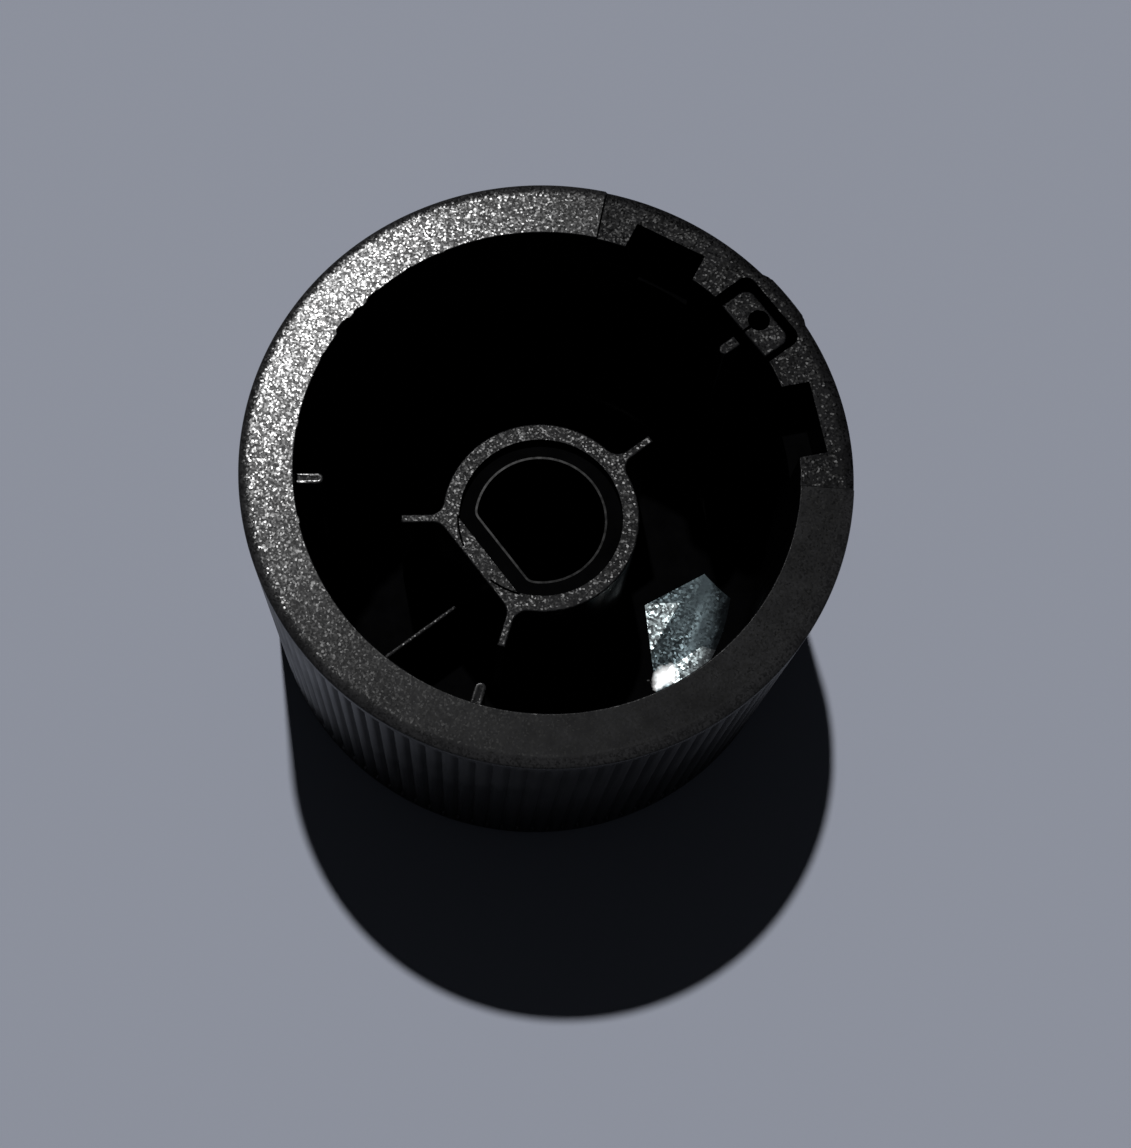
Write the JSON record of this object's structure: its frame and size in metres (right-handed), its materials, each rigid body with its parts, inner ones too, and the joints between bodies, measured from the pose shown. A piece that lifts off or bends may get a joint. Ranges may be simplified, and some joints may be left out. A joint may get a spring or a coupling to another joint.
{
  "type": "radio knob",
  "caption": "Round fluted push-on control knob seen from its open back, with a D-bore boss, ribs and a pointer insert set in the rim.",
  "frame": {"origin": "centre of the front face, on the bore's axis", "axes": "+Z along the shaft bore and out of the open back, +Y from the axis to the pointer"},
  "size_m": [0.027, 0.0271, 0.018],
  "materials": {
    "knob_body": "satin",
    "pointer_insert": "matte"
  },
  "bodies": {
    "root": {"knob_body": "knob_body", "pointer_insert": "pointer_insert"}
  },
  "joints": []
}
